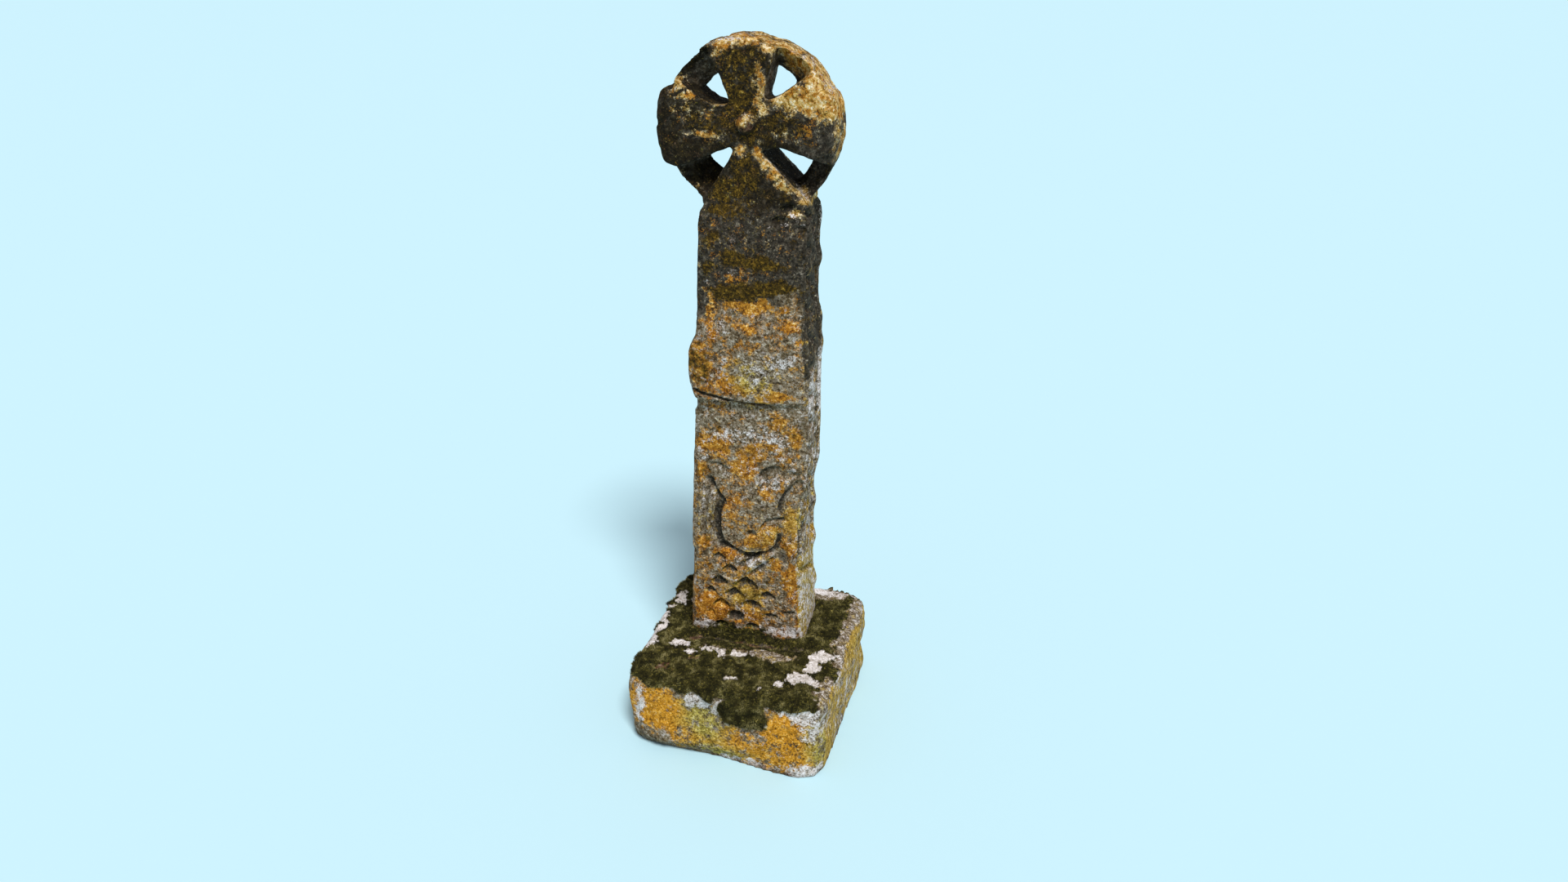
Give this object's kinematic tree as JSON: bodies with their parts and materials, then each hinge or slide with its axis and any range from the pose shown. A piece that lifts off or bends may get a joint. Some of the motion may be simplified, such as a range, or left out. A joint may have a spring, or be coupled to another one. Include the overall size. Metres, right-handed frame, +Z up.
{
  "type": "wheel-headed stone cross",
  "caption": "Weathered carved stone cross with a pierced wheel head, a tapering shaft with worn interlace, and a squared base stone that it stands in.",
  "frame": {"origin": "middle of the footprint, at the underside of the base stone", "axes": "+Z up the shaft, -Y out of the carved front, +X to the right of a viewer who faces the front"},
  "size_m": [0.6866, 0.6836, 2.082],
  "materials": {
    "carved_stone": "weathered granite with orange and grey lichen",
    "base_rock": "weathered granite with moss and orange lichen"
  },
  "bodies": {
    "root": {"cross": "carved_stone", "base_stone": "base_rock"}
  },
  "joints": []
}
